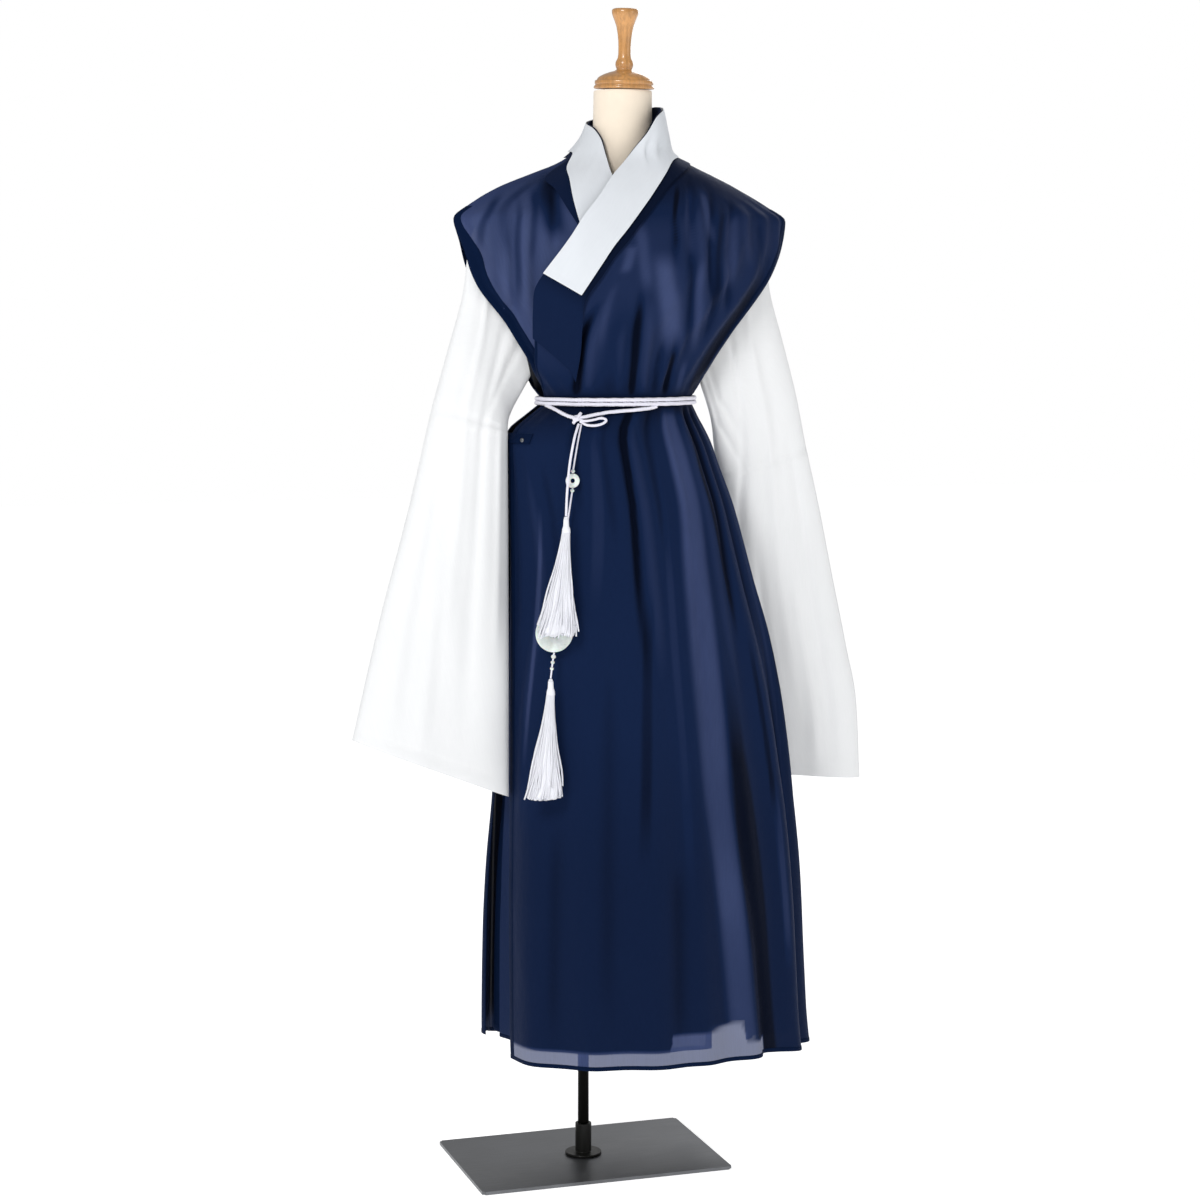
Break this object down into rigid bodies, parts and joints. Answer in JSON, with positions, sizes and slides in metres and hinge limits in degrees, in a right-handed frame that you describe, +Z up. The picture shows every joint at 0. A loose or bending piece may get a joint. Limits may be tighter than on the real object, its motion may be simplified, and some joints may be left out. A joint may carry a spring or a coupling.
{
  "type": "hanfu robe set on a limbless dress form",
  "caption": "Crossed-collar hanfu set, sheer sleeveless robe over wide-sleeved shirt and skirt, with cord belt and tassels, on a limbless dress form with a pole and flat base.",
  "frame": {"origin": "centre of the base plate's underside, on the floor", "axes": "+Z up, the garment's front towards -Y, the wearer's left towards +X"},
  "size_m": [0.858, 0.3544, 1.7411],
  "materials": {
    "sheer_navy": "sheer navy chiffon, darker where it lies double",
    "lining_navy": "matt navy cotton",
    "white_shirt": "soft white chiffon over cotton",
    "collar_white": "white plain weave, lightly pressed",
    "cord_white": "braided cord, lavender white",
    "tassel_silk": "rayon silk strands",
    "jade": "polished pale jade",
    "form_jersey": "cream jersey cover",
    "turned_wood": "satin varnish",
    "black_steel": "satin black paint",
    "grey_steel": "brushed, dark grey"
  },
  "bodies": {
    "root": {"base_plate": "grey_steel", "pole": "black_steel", "pole_foot": "black_steel", "form_body": "form_jersey", "form_cap": "turned_wood", "shirt_front_right": "white_shirt", "shirt_front_left": "white_shirt", "shirt_back": "white_shirt", "sleeve_upper_right": "white_shirt", "sleeve_lower_right": "white_shirt", "sleeve_upper_left": "white_shirt", "sleeve_lower_left": "white_shirt", "inner_skirt_front": "lining_navy", "inner_skirt_back": "lining_navy", "robe_front_left": "sheer_navy", "robe_front_right": "sheer_navy", "robe_back": "sheer_navy", "robe_collar": "sheer_navy", "armhole_band_front_left": "sheer_navy", "armhole_band_front_right": "sheer_navy", "armhole_band_back_left": "sheer_navy", "armhole_band_back_right": "sheer_navy", "hip_tape": "lining_navy", "collar_cover": "collar_white", "belt_upper": "cord_white", "belt_lower": "cord_white", "belt_strand_left": "cord_white", "belt_strand_right": "cord_white", "belt_loop": "cord_white", "belt_knot": "cord_white", "tassel_cord": "cord_white", "pendant_cord_upper": "cord_white", "pendant_cord_middle": "cord_white", "pendant_cord_lower": "cord_white", "tassel_upper": "tassel_silk", "tassel_lower": "tassel_silk", "jade_small": "jade", "jade_large": "jade"}
  },
  "joints": []
}
